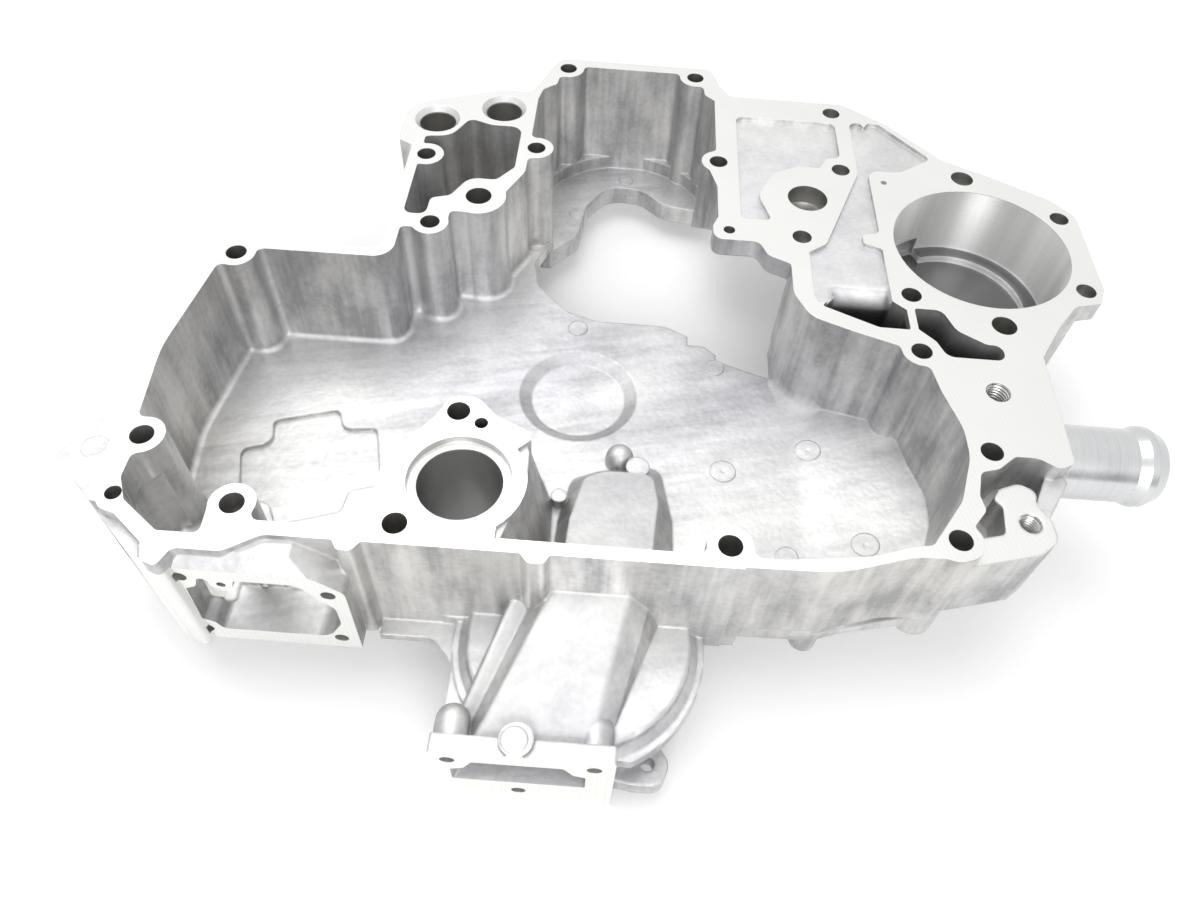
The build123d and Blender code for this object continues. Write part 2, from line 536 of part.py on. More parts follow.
def underside():
    """Bosses of the hidden front side; three of them reach the plane that the case lies on."""
    bosses = post((-100, 92), 22, WALL_FOOT - 4, REST_PLANE)
    bosses += post((-26, 200), 24, WALL_FOOT - 4, REST_PLANE)
    bosses += post((139.5, -19), 11, WALL_FOOT_RIGHT - 2, WALL_FOOT_RIGHT + 24)
    bosses += post((0, 0), DRIVE_BOSS, CHAMBER_FLOOR - 2, DRIVE_BOSS_FOOT)
    bosses += post(PUMP_CENTRE, 60, PUMP_BLOCK - 2, PUMP_BLOCK + 18)
    bosses += post(PUMP_CENTRE, 30, PUMP_BLOCK + 16, REST_PLANE)
    return bosses


def spigot_seat():
    """Bore of the right end that the hose spigot is pressed into."""
    length = 80
    return Pos(SPIGOT_END - length / 2, SPIGOT_Y, -SPIGOT_DEPTH) * Rot(0, 90, 0) * Cylinder(
        SPIGOT_OUTSIDE / 2, length)


def gear_case():
    """The whole casting."""
    solid = main_walls() + right_underside() + cover_housing() + front_ribs() + right_tab()
    solid += snout()
    solid += round_flange()
    solid += underside()
    solid -= chamber_pocket()
    solid -= crank_opening()
    solid -= under_bracket()
    solid += right_floor_ramp()
    solid += drive_pad()
    solid += duct_ridge()
    solid -= floor_marks()
    solid -= lobe_pocket()
    cuts = water_pockets() + shallow_pockets() + pump_bore() + upright_holes()
    for cut in cuts + cover_openings() + snout_cuts():
        solid -= cut
    return solid - spigot_seat()


def hose_spigot():
    """Tube with a rolled bead, pressed into the right end of the casting."""
    radius = SPIGOT_OUTSIDE / 2
    bore = radius - SPIGOT_WALL
    bead = SPIGOT_BEAD / 2
    start = RIGHT_END - SPIGOT_SEAT
    crest = SPIGOT_END - 8
    profile = Plane.XY * make_face(
        Polyline((start, bore), (start, radius), (crest - 4, radius), (crest, bead),
                 (crest + BEAD_WIDTH, bead), (SPIGOT_END, radius - 1), (SPIGOT_END, bore),
                 close=True))
    return Pos(0, SPIGOT_Y, -SPIGOT_DEPTH) * revolve(profile, Axis.X)


PIECES = {"gear_case": gear_case, "hose_spigot": hose_spigot}

if __name__ == "__main__":
    os.makedirs("parts", exist_ok=True)
    for name, build in PIECES.items():
        piece = build()
        export_step(piece, "parts/" + name + ".step")
        print(name, len(piece.solids()), round(piece.volume))
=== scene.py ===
import math

import bpy
import numpy as np
from mathutils import Matrix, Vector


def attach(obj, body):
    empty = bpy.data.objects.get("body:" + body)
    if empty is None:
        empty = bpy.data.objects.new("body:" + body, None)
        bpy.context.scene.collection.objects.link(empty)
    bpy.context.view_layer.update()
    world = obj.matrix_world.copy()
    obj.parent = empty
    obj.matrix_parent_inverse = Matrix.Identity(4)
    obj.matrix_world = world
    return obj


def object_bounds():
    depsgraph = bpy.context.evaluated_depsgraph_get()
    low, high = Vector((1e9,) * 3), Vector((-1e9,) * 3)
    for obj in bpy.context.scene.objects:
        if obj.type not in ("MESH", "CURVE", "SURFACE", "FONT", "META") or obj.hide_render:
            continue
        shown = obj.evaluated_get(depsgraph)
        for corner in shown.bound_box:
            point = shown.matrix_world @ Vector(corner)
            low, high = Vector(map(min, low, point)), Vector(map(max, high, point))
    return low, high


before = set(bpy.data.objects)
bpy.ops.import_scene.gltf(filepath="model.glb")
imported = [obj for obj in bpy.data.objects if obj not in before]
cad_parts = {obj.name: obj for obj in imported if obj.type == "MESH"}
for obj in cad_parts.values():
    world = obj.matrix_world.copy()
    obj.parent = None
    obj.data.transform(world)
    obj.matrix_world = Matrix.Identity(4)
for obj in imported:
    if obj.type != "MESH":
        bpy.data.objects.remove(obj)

cad_low, cad_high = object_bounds()


# The camera stands in front of the case and looks down on it.
# Its place, tilt and lens come from the ellipses that the round holes make in the picture.
CAMERA_PLACE = (0.0506, -0.1908, 0.2756)
CAMERA_PITCH = math.radians(52.86)
CAMERA_ROLL = math.radians(4.308)
CAMERA_SENSOR = 36.0
CAMERA_LENS = 27.48


def camera_turn(pitch, roll):
    """The camera's right, up and back directions as the columns of a matrix."""
    cp, sp = math.cos(pitch), math.sin(pitch)
    cr, sr = math.cos(roll), math.sin(roll)
    level = np.array([[1, 0, 0], [0, -sp, -cp], [0, cp, -sp]])
    right, down, forward = np.array([[cr, -sr, 0], [sr, cr, 0], [0, 0, 1]]) @ level
    return Matrix(np.stack([right, -down, -forward], axis=1).tolist())


camera_data = bpy.data.cameras.new("camera")
camera_data.sensor_width = CAMERA_SENSOR
camera_data.lens = CAMERA_LENS
camera_data.clip_start = 0.01
camera_data.clip_end = 20
camera = bpy.data.objects.new("camera", camera_data)
camera.matrix_world = Matrix.Translation(CAMERA_PLACE) @ camera_turn(CAMERA_PITCH, CAMERA_ROLL).to_4x4()
bpy.context.scene.collection.objects.link(camera)
bpy.context.scene.camera = camera


# The gear case is one aluminium die casting. Its walls and floor keep the grey, sandy skin of the
# mould, with flow streaks on the floor and draw lines down the walls. Faces that meet other parts
# are milled bright, and the bores are drilled or turned.
MM = 0.001


def node(tree, kind, inputs=None, **settings):
    """A shader node of that kind. Inputs are numbers, or sockets of other nodes to link."""
    made = tree.nodes.new(kind)
    for name, value in settings.items():
        setattr(made, name, value)
    for name, value in (inputs or {}).items():
        if isinstance(value, bpy.types.NodeSocket):
            tree.links.new(value, made.inputs[name])
        else:
            made.inputs[name].default_value = value
    return made


def maths(tree, operation, *values):
    """A math node's result."""
    return node(tree, "ShaderNodeMath", dict(enumerate(values)), operation=operation).outputs[0]


def ranged(tree, value, low, high, first=0.0, last=1.0):
    """A value that goes from first to last while the input goes from low to high."""
    return node(tree, "ShaderNodeMapRange", {"Value": value, "From Min": low, "From Max": high,
                                             "To Min": first, "To Max": last}).outputs[0]


def mix_colour(tree, share, first, second, kind="MIX"):
    """Two colours mixed by a share from 0 to 1."""
    made = node(tree, "ShaderNodeMix", {0: share, 6: first, 7: second},
                data_type="RGBA", blend_type=kind)
    return made.outputs[2]


def mix_value(tree, share, first, second):
    """Two numbers mixed by a share from 0 to 1."""
    return node(tree, "ShaderNodeMix", {0: share, 2: first, 3: second}, data_type="FLOAT").outputs[0]


def new_group(name, labels):
    """An empty shader node group that gives a number under each label, and its output node."""
    group = bpy.data.node_groups.new(name, "ShaderNodeTree")
    for label in labels:
        group.interface.new_socket(label, in_out="OUTPUT", socket_type="NodeSocketFloat")
    return group, group.nodes.new("NodeGroupOutput")


# Where it is machined: the levels of the milled faces, the bores, the holes and the pockets. The lists
# of holes, and the radii of the holes in them, are in mm. Painted shade goes in the holes, on a small
# disc for a pit on the land, down in the water pockets and down the lip of the left one; the pale holes
# take less of it.
LAND_LEVEL = 0.0
TAB_LEVEL = -6.0 * MM
TAB_START = 180 * MM
FRONT_FACE = -41.0 * MM
SNOUT_FACE = -86.6 * MM
SIDE_FACE = ((-147.0 * MM, -3.0 * MM), (-106.0 * MM, -41.0 * MM))
CORNER_COLUMN = (-92 * MM, -7 * MM)
ON_PLANE = 0.15 * MM
SLACK = 0.25 * MM
FACING = 0.9
DRIVE_RECESS_RADIUS = 19.5 * MM
DRIVE_RECESS_LEVEL = -3.0 * MM
PUMP_CENTRE = (221.1 * MM, 153.3 * MM)
PUMP_RADIUS = 41.0 * MM
PUMP_FLOOR_LEVEL = -34.0 * MM
PUMP_FOOT_LEVEL = -28.0 * MM
SCREW_RADIUS = 4.5
SCREW_HOLES = [
    (17.7, 278.5), (87.5, 278.5), (7.6, 204.0), (98.9, 204.0), (-35.2, 141.9), (-115.3, 111.7),
    (99.1, -19.9), (182.4, 82.7), (-45.6, 192.6), (182.3, -10.4), (201.8, 31.4), (183.0, 116.9),
    (263.5, 128.0), (263.5, 178.6), (160.2, 204.6), (159.9, 253.9), (136.9, 150.9), (-5.0, 31.7),
    (-19.6, -21.0),
]
PALE_HOLES = [(-119.7, 9.2), (-78.0, -17.7)]
# The share of the painted hole shade that the two pale holes take.
PALE_SHARE = 0.55
OTHER_HOLES = [
    # centre and radius
    (221.1, 101.7, 5.5), (221.1, 204.9, 5.5), (-45.1, 222.7, 9.0), (-12.5, 236.0, 9.0),
    (-15.7, 163.0, 6.1), (141.7, 180.0, 9.6), (-120.4, -17.1, 3.0), (4.5, 26.6, 2.6),
    (103.0, 152.0, 2.7),
]
# Painted shade: a small dark disc on the land stands in for the shade in a small pit.
PIT_SHADE_CENTRE = (180.8 * MM, 196.7 * MM, 0)
PIT_SHADE_RADIUS = 1.5 * MM
FRONT_HOLES = [(-93.4, -13.9), (-95.3, -54.2), (-42.1, -20.1), (-43.2, -54.2)]
SNOUT_HOLES = [(5.2, -47.8), (57.1, -47.8), (29.6, -76.5)]
FLANGE_HOLE_RADIUS = 2.7
FLANGE_HOLE_DEPTH = 16 * MM
POCKET_LOW = (142 * MM, 80 * MM)
POCKET_HIGH = (218 * MM, 121 * MM)
POCKET_SIDE = (0.4176, 0.9087, 0)
POCKET_LIMIT = 153 * MM
POCKET_LEVELS = (-2.5 * MM, -11.5 * MM)
LIP_LOW = (146 * MM, 112 * MM)
LIP_HIGH = (176 * MM, 123 * MM)
LIP_TOP = -0.5 * MM
LIP_LEVELS = (-3.5 * MM, -9.5 * MM)
RAMP_START = 140 * MM
RAMP_REACH = (13 * MM, 8 * MM)
RAMP_TOP = -49 * MM
LIP_BEND = 0.5
PUMP_FOOT_BEND = 0.15


def machined_group():
    """Masks of what is machined, from the place and the direction of the surface. Milled is 1 on the
    milled faces, Turned in the pump bore and Drive in the drive bore, Pump floor on the bottom of the
    pump bore, Hole in the drilled holes and on a small disc for a pit on the land, and Pocket down in
    the water pockets; Hole and Pocket take painted shade. Near is the distance to a milled plane. Bend
    is 1 where the chamber floor bends softly into its ramp, and less on the lip of the left water
    pocket and at the foot of the pump bore. Lip rises down that lip, where it takes painted shade."""
    labels = ["Milled", "Turned", "Drive", "Pump floor", "Hole", "Pocket", "Near", "Bend", "Lip"]
    group, out = new_group("machined_faces", labels)
    where = node(group, "ShaderNodeTexCoord")
    place, normal = where.outputs["Object"], where.outputs["Normal"]
    x, y, z = node(group, "ShaderNodeSeparateXYZ", {0: place}).outputs
    facing = node(group, "ShaderNodeSeparateXYZ", {0: normal}).outputs
    flat = node(group, "ShaderNodeCombineXYZ", {0: x, 1: y}).outputs[0]
    upright = node(group, "ShaderNodeCombineXYZ", {0: x, 1: z}).outputs[0]

    def distance(plane, centre):
        return node(group, "ShaderNodeVectorMath", {0: plane, 1: centre},
                    operation="DISTANCE").outputs["Value"]

    def dot(vector, direction):
        return node(group, "ShaderNodeVectorMath", {0: vector, 1: direction},
                    operation="DOT_PRODUCT").outputs["Value"]

    def all_of(first, *others):
        for other in others:
            first = maths(group, "MULTIPLY", first, other)
        return first

    def any_of(first, *others):
        for other in others:
            first = maths(group, "MAXIMUM", first, other)
        return first

    def over(value, limit):
        return maths(group, "GREATER_THAN", value, limit)

    def under(value, limit):
        return maths(group, "LESS_THAN", value, limit)

    def away(value, level):
        return maths(group, "ABSOLUTE", maths(group, "SUBTRACT", value, level))

    def other_than(mask):
        return maths(group, "SUBTRACT", 1.0, mask)

    def within(low, high):
        """1 over a rectangle of the plan."""
        return all_of(over(x, low[0]), under(x, high[0]), over(y, low[1]), under(y, high[1]))

    def round_holes(plane, holes):
        """1 inside any of the holes, which are given by centre and radius in mm."""
        return any_of(*[under(distance(plane, (first * MM, second * MM, 0)), radius * MM + SLACK)
                        for first, second, radius in holes])

    (x0, y0), (x1, y1) = SIDE_FACE
    length = math.hypot(x1 - x0, y1 - y0)
    side = ((y1 - y0) / length, -(x1 - x0) / length, 0)
    from_side = away(dot(place, side), side[0] * x0 + side[1] * y0)
    from_land = away(z, LAND_LEVEL)
    from_front = away(y, FRONT_FACE)
    from_snout = away(y, SNOUT_FACE)
    up = over(facing[2], FACING)
    forward = under(facing[1], -FACING)
    in_drive = under(distance(flat, (0, 0, 0)), DRIVE_RECESS_RADIUS + SLACK)
    in_pump = under(distance(flat, (*PUMP_CENTRE, 0)), PUMP_RADIUS + SLACK)
    below = under(z, -SLACK)
    milled = any_of(
        all_of(up, under(from_land, ON_PLANE)),
        all_of(up, under(away(z, TAB_LEVEL), ON_PLANE), over(x, TAB_START)),
        all_of(up, under(away(z, DRIVE_RECESS_LEVEL), ON_PLANE), in_drive),
        all_of(forward, under(from_front, ON_PLANE)),
        all_of(forward, under(from_snout, ON_PLANE)),
        all_of(over(dot(normal, side), FACING), under(from_side, ON_PLANE)),
        all_of(under(x, CORNER_COLUMN[0]), under(y, FRONT_FACE - ON_PLANE), under(z, CORNER_COLUMN[1])))

    screws = [(*centre, SCREW_RADIUS) for centre in SCREW_HOLES]
    pale = [(*centre, SCREW_RADIUS) for centre in PALE_HOLES]
    drilled = any_of(round_holes(flat, screws + OTHER_HOLES),
                     all_of(round_holes(flat, pale), PALE_SHARE))
    fronts, snouts = [round_holes(upright, [(*centre, FLANGE_HOLE_RADIUS) for centre in centres])
                      for centres in (FRONT_HOLES, SNOUT_HOLES)]
    # Where painted shade goes: in the drilled holes, on the pit disc on the land and in the flange
    # holes.
    hole = any_of(
        all_of(drilled, below),
        all_of(under(distance(flat, PIT_SHADE_CENTRE), PIT_SHADE_RADIUS), over(z, -ON_PLANE)),
        all_of(fronts, other_than(forward), over(y, FRONT_FACE),
               under(y, FRONT_FACE + FLANGE_HOLE_DEPTH)),
        all_of(snouts, other_than(forward), under(y, SNOUT_FACE + FLANGE_HOLE_DEPTH)))

    # Painted shade down in the water pockets, growing with depth.
    pocket = all_of(within(POCKET_LOW, POCKET_HIGH), over(dot(place, POCKET_SIDE), POCKET_LIMIT),
                    other_than(in_pump), ranged(group, z, *POCKET_LEVELS))
    # Painted shade rises down the lip of the left water pocket.
    lip = all_of(within(LIP_LOW, LIP_HIGH), under(z, LIP_TOP))
    near = maths(group, "MINIMUM", maths(group, "MINIMUM", from_land, from_front),
                 maths(group, "MINIMUM", from_snout, from_side))
    bend = any_of(all_of(ranged(group, away(x, RAMP_START), *RAMP_REACH), under(z, RAMP_TOP)),
                  all_of(lip, LIP_BEND), all_of(in_pump, under(z, PUMP_FOOT_LEVEL), PUMP_FOOT_BEND))
    results = [milled, all_of(in_pump, below), all_of(in_drive, below),
               all_of(in_pump, over(facing[2], 0.5), under(z, PUMP_FLOOR_LEVEL)),
               hole, pocket, near, bend, all_of(lip, ranged(group, z, *LIP_LEVELS))]
    for label, result in zip(labels, results):
        group.links.new(result, out.inputs[label])
    return group


# The skin: from which level down the floor shows flow streaks (above it, what is not a wall has a
# calmer
# skin and is painted lighter: painted light), how steep a wall is (the height of its normal), and the
# range of noise that is spread to run from 0 to 1.
DEEP_LEVELS = (-41 * MM, -47 * MM)
WALL_FACING = (0.80, 0.35)
NOISE_SPREAD = (0.32, 0.68)
WALL_SPREAD = (0.18, 0.82)


def skin_group():
    """The skin of the mould: clouds, sandy grain, flow streaks deep down on what faces up, and draw
    lines down the walls. Higher up, what faces up has a calmer skin that is painted lighter, as painted
    light.
    Shade is a share of brightness, Wall is 1 on upright faces, Height feeds the bump, and Warmth drifts
    from cool to warm."""
    group, out = new_group("cast_skin", ["Shade", "Wall", "Height", "Warmth"])
    where = node(group, "ShaderNodeTexCoord")
    facing = node(group, "ShaderNodeSeparateXYZ", {0: where.outputs["Normal"]}).outputs
    wall = ranged(group, maths(group, "ABSOLUTE", facing[2]), *WALL_FACING)

    def noise(scale, detail, stretch=(1, 1, 1), turn=0.0, distortion=0.0):
        """Noise whose spots are stretched along turned axes, spread to run from 0 to 1."""
        mapped = node(group, "ShaderNodeMapping", {
            "Vector": where.outputs["Object"], "Scale": stretch, "Rotation": (0, 0, turn),
        }, vector_type="TEXTURE")
        fac = node(group, "ShaderNodeTexNoise", {
            "Vector": mapped.outputs[0], "Scale": scale, "Detail": detail, "Distortion": distortion,
        }).outputs["Fac"]
        return ranged(group, fac, *NOISE_SPREAD)

    def blend(*parts):
        """The sum of each value times its weight."""
        total = 0.0
        for value, weight in parts:
            total = maths(group, "MULTIPLY_ADD", value, weight, total)
        return total

    clouds = noise(13, 2, distortion=0.7)
    mottle = noise(85, 3)
    sand = noise(420, 2)
    flow = noise(30, 3, (3.4, 0.8, 1), 0.36, 0.9)
    streaks = noise(150, 3, (6.0, 0.7, 1), 0.24)
    level = node(group, "ShaderNodeSeparateXYZ", {0: where.outputs["Object"]}).outputs[2]
    deep = ranged(group, level, *DEEP_LEVELS)
    draw = noise(80, 4, (1, 1, 3.5))
    lines = noise(380, 2, (1, 1, 16))
    on_floor = blend((clouds, 0.30), (flow, 0.30), (streaks, 0.18), (sand, 0.12), (mottle, 0.10))
    # Higher up the skin is calmer, and painted lighter on average: painted light.
    lit_shallow = blend((clouds, 0.16), (mottle, 0.22), (sand, 0.12), (1.0, 0.36))
    on_floor = mix_value(group, deep, lit_shallow, on_floor)
    on_wall = blend((clouds, 0.24), (draw, 0.38), (lines, 0.14), (sand, 0.10), (mottle, 0.14))
    on_wall = ranged(group, on_wall, *WALL_SPREAD)
    group.links.new(mix_value(group, wall, on_floor, on_wall), out.inputs["Shade"])
    group.links.new(wall, out.inputs["Wall"])
    group.links.new(blend((mottle, 1.0), (sand, 0.35)), out.inputs["Height"])
    group.links.new(noise(9, 2), out.inputs["Warmth"])
    return group


def cutter_group():
    """What cutting tools leave: fine crossing arcs of a face cutter on the milled faces (Milled) and
    fine rings in the two turned bores (Rings). Bands is painted reflection: broad light and dark
    stripes down the pump bore's wall, by the angle round it."""
    group, out = new_group("cutter_marks", ["Milled", "Rings", "Bands"])
    place = node(group, "ShaderNodeTexCoord").outputs["Object"]
    x, y, z = node(group, "ShaderNodeSeparateXYZ", {0: place}).outputs
    flat = node(group, "ShaderNodeCombineXYZ", {0: x, 1: y}).outputs[0]

    def arcs(centre, pitch):
        moved = node(group, "ShaderNodeMapping", {"Vector": place, "Location": centre})
        return node(group, "ShaderNodeTexWave", {
            "Vector": moved.outputs[0], "Scale": pitch, "Distortion": 1.2, "Detail": 2.0,
            "Detail Scale": 4.0,
        }, wave_type="RINGS", rings_direction="Z").outputs["Fac"]

    def noise(vector, scale):
        return node(group, "ShaderNodeTexNoise", {"Vector": vector, "Scale": scale,
                                                  "Detail": 3}).outputs["Fac"]

    patches = maths(group, "MULTIPLY", noise(place, 26), 0.6)
    milled = maths(group, "MULTIPLY_ADD", arcs((0.9, 0.2, 0), 180), 0.25, patches)
    milled = maths(group, "MULTIPLY_ADD", arcs((-0.8, -0.7, 0), 150), 0.15, milled)

    radii = [node(group, "ShaderNodeVectorMath", {0: flat, 1: centre},
                  operation="DISTANCE").outputs["Value"]
             for centre in ((0, 0, 0), (*PUMP_CENTRE, 0))]
    along = maths(group, "ADD", maths(group, "MINIMUM", *radii), z)
    rings = node(group, "ShaderNodeTexNoise", {"W": along, "Scale": 1400, "Detail": 4},
                 noise_dimensions="1D").outputs["Fac"]

    # Painted reflection: broad light and dark stripes by the angle round the pump bore.
    spoke = node(group, "ShaderNodeVectorMath", {0: flat, 1: (*PUMP_CENTRE, 0)},
                 operation="SUBTRACT")
    spoke = node(group, "ShaderNodeVectorMath", {0: spoke.outputs[0]}, operation="NORMALIZE")
    reflection_bands = ranged(group, noise(spoke.outputs[0], 3.2), 0.35, 0.65)
    for label, result in (("Milled", milled), ("Rings", rings), ("Bands", reflection_bands)):
        group.links.new(result, out.inputs[label])
    return group


MACHINED, SKIN, CUTTER = machined_group(), skin_group(), cutter_group()

# Colours of the metal, from the dull skin to the cut faces, with painted shade, a painted reflection
# and a painted highlight among them, and how the light spreads on them: the turned bores spread it up
# and down, across their fine rings.
CAST_DARK = (0.44, 0.44, 0.45, 1)
CAST_MIDDLE = (0.63, 0.63, 0.635, 1)
CAST_LIGHT = (0.79, 0.79, 0.785, 1)
COOL_TINT = (0.972, 0.974, 1.0, 1)
WARM_TINT = (1.0, 0.995, 0.968, 1)
# Painted shade: the upright faces are multiplied by this, so they are darker than what faces up.
WALL_SHADE = (0.84, 0.835, 0.825, 1)
# Painted shade: the water pockets are multiplied by this.
POCKET_SHADE = (0.36, 0.36, 0.37, 1)
# Painted shade down the lip of the left water pocket.
LIP_SHADE = (0.12, 0.12, 0.125, 1)
MILLED_DULL = (0.76, 0.764, 0.74, 1)
MILLED_BRIGHT = (0.87, 0.874, 0.852, 1)
TURNED_COLOUR = (0.92, 0.92, 0.91, 1)
# Darker where the fine turned rings meet the painted reflection stripes down the pump bore.
TURNED_DARK = (0.62, 0.62, 0.615, 1)
PUMP_FLOOR_COLOUR = (0.20, 0.20, 0.205, 1)
DRIVE_COLOUR = (0.50, 0.50, 0.495, 1)
# Painted shade in the holes and on the pit disc: darkest at the mouth, lighter further down.
HOLE_MOUTH_SHADE = (0.26, 0.255, 0.24, 1)
HOLE_DEPTH_SHADE = (0.60, 0.59, 0.56, 1)
HOLE_LEVELS = (-3 * MM, -14 * MM)
# Painted highlight: how far the edges and fillets are painted towards the light skin colour.
EDGE_HIGHLIGHT = 0.45
METALLIC = 0.85
MILLED_ROUGH = 0.36
TURNED_ROUGH = 0.50
DEEP_ROUGH = 0.30
TURNED_SPREAD = 0.92
BEND_RADIUS = 9 * MM


def case_material(name, bend_radius):
    """Cast skin everywhere, with painted shade on the upright faces and a painted highlight on the
    edges, and over it the milled faces, turned bores with painted reflection stripes, and painted shade
    in the holes, the water pockets and down the lip. The edges are soft to the light, more so away from
    the milled faces and where the metal bends."""
    material = bpy.data.materials.new(name)
    material.use_nodes = True
    tree = material.node_tree
    tree.nodes.clear()
    milled, turned, drive, pump_floor, hole, pocket, near, bend, lip = node(
        tree, "ShaderNodeGroup", node_tree=MACHINED).outputs
    shade, wall, skin_height, warmth = node(tree, "ShaderNodeGroup", node_tree=SKIN).outputs
    arcs, rings, reflection_bands = node(tree, "ShaderNodeGroup", node_tree=CUTTER).outputs
    bore = maths(tree, "MULTIPLY", drive, maths(tree, "SUBTRACT", 1.0, milled))

    edge_radius = ranged(tree, near, 0.4 * MM, 3.0 * MM, 0.25 * MM, 1.5 * MM)
    edge_radius = maths(tree, "MULTIPLY_ADD", bend, bend_radius, edge_radius)
    soft = node(tree, "ShaderNodeBevel", {"Radius": edge_radius}, samples=3).outputs[0]
    sharp = node(tree, "ShaderNodeNewGeometry").outputs["Normal"]
    turn = node(tree, "ShaderNodeVectorMath", {0: soft, 1: sharp},
                operation="DOT_PRODUCT").outputs["Value"]
    edge = ranged(tree, turn, 1.0, 0.8)

    ramp = node(tree, "ShaderNodeValToRGB", {0: shade})
    first, last = ramp.color_ramp.elements
    first.position, first.color = 0.15, CAST_DARK
    last.position, last.color = 0.85, CAST_LIGHT
    ramp.color_ramp.elements.new(0.5).color = CAST_MIDDLE
    tint = mix_colour(tree, warmth, COOL_TINT, WARM_TINT)
    floors = mix_colour(tree, 1.0, ramp.outputs[0], tint, "MULTIPLY")
    # Painted shade: the upright faces take the darker colour.
    walls = mix_colour(tree, 1.0, floors, WALL_SHADE, "MULTIPLY")
    skin = mix_colour(tree, wall, floors, walls)
    # Painted highlight along the edges, convex and concave alike.
    skin = mix_colour(tree, maths(tree, "MULTIPLY", edge, EDGE_HIGHLIGHT), skin, CAST_LIGHT)
    # Painted shade for the water pockets.
    shaded_pockets = mix_colour(tree, 1.0, skin, POCKET_SHADE, "MULTIPLY")
    level = node(tree, "ShaderNodeSeparateXYZ", {
        0: node(tree, "ShaderNodeTexCoord").outputs["Object"]}).outputs[2]

    # Over the skin: painted shade in the pockets and down the lip, the milled faces, the turned bores
    # with painted reflection stripes, and painted shade in the holes.
    colour = skin
    for share, tone in (
            (pocket, shaded_pockets),
            (lip, LIP_SHADE),
            (milled, mix_colour(tree, arcs, MILLED_DULL, MILLED_BRIGHT)),
            (turned, mix_colour(tree, maths(tree, "MULTIPLY", rings, reflection_bands), TURNED_COLOUR,
                                TURNED_DARK)),
            (pump_floor, PUMP_FLOOR_COLOUR),
            (bore, DRIVE_COLOUR),
            (hole, mix_colour(tree, ranged(tree, level, *HOLE_LEVELS), HOLE_MOUTH_SHADE,
                              HOLE_DEPTH_SHADE))):
        colour = mix_colour(tree, share, colour, tone)

    rough = maths(tree, "MULTIPLY_ADD", shade, -0.14, 0.54)
    for share, roughness in ((milled, MILLED_ROUGH), (turned, TURNED_ROUGH),
                             (maths(tree, "MAXIMUM", pump_floor, bore), DEEP_ROUGH)):
        rough = mix_value(tree, share, rough, roughness)

    cut = maths(tree, "MAXIMUM", milled, maths(tree, "MAXIMUM", turned, drive))
    height = maths(tree, "MULTIPLY", skin_height, maths(tree, "SUBTRACT", 1.0, cut))
    for marks, share, weight in ((arcs, milled, 0.06),
                                 (rings, maths(tree, "MAXIMUM", turned, bore), 0.10)):
        height = maths(tree, "MULTIPLY_ADD", maths(tree, "MULTIPLY", marks, share), weight, height)
    bump = node(tree, "ShaderNodeBump", {"Height": height, "Normal": soft, "Distance": 0.16 * MM,
                                         "Strength": 0.6})

    upright = node(tree, "ShaderNodeCombineXYZ", {"Z": 1.0})
    shader = node(tree, "ShaderNodeBsdfPrincipled", {
        "Base Color": colour, "Roughness": rough, "Metallic": METALLIC, "Normal": bump.outputs[0],
        "Anisotropic": maths(tree, "MULTIPLY", turned, TURNED_SPREAD), "Tangent": upright.outputs[0]})
    output = node(tree, "ShaderNodeOutputMaterial")
    tree.links.new(shader.outputs[0], output.inputs[0])
    return material


gear_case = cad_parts["gear_case"]
gear_case.data.materials.clear()
gear_case.data.materials.append(case_material("cast_aluminium", BEND_RADIUS))


# The mould's ejector pins leave round marks on the casting: low discs with a fine rim, and on the
# chamber floor a pip in the middle. The marks on the left corner and on the duct are kept bare.
MARK_STEPS = 40
MARK_FOOT = -0.5
PIP_DEPTH = 0.3
MARKS = [
    # name, centre, radius and height in mm, pip, rise of the floor per mm along +X
    ("ejector_mark_far", (35, 134, -54), 5.0, 0.45, False, 0.0),
    ("ejector_mark_right", (103, 114, -54), 5.0, 0.45, False, 0.0),
    ("ejector_mark_middle", (106, 52, -54), 6.0, 0.35, True, 0.0),
    ("ejector_mark_ramp_far", (145, 67, -53.4), 6.0, 0.35, True, 0.125),
    ("ejector_mark_ramp_near", (165, 17, -50.9), 6.0, 0.35, True, 0.125),
    ("ejector_mark_near", (132, 10, -54), 5.0, 0.45, False, 0.0),
    ("ejector_mark_crank_far", (54, 270, -64), 4.5, 0.3, False, 0.0),
    ("ejector_mark_crank_left", (27, 236, -64), 4.5, 0.3, False, 0.0),
    ("bare_mark_corner", (-134.8, 2.6, -0.8), 5.0, 0.2, False, 0.0),
    ("bare_mark_duct", (28.6, -81.3, -37.5), 5.0, 0.2, False, 0.0),
]


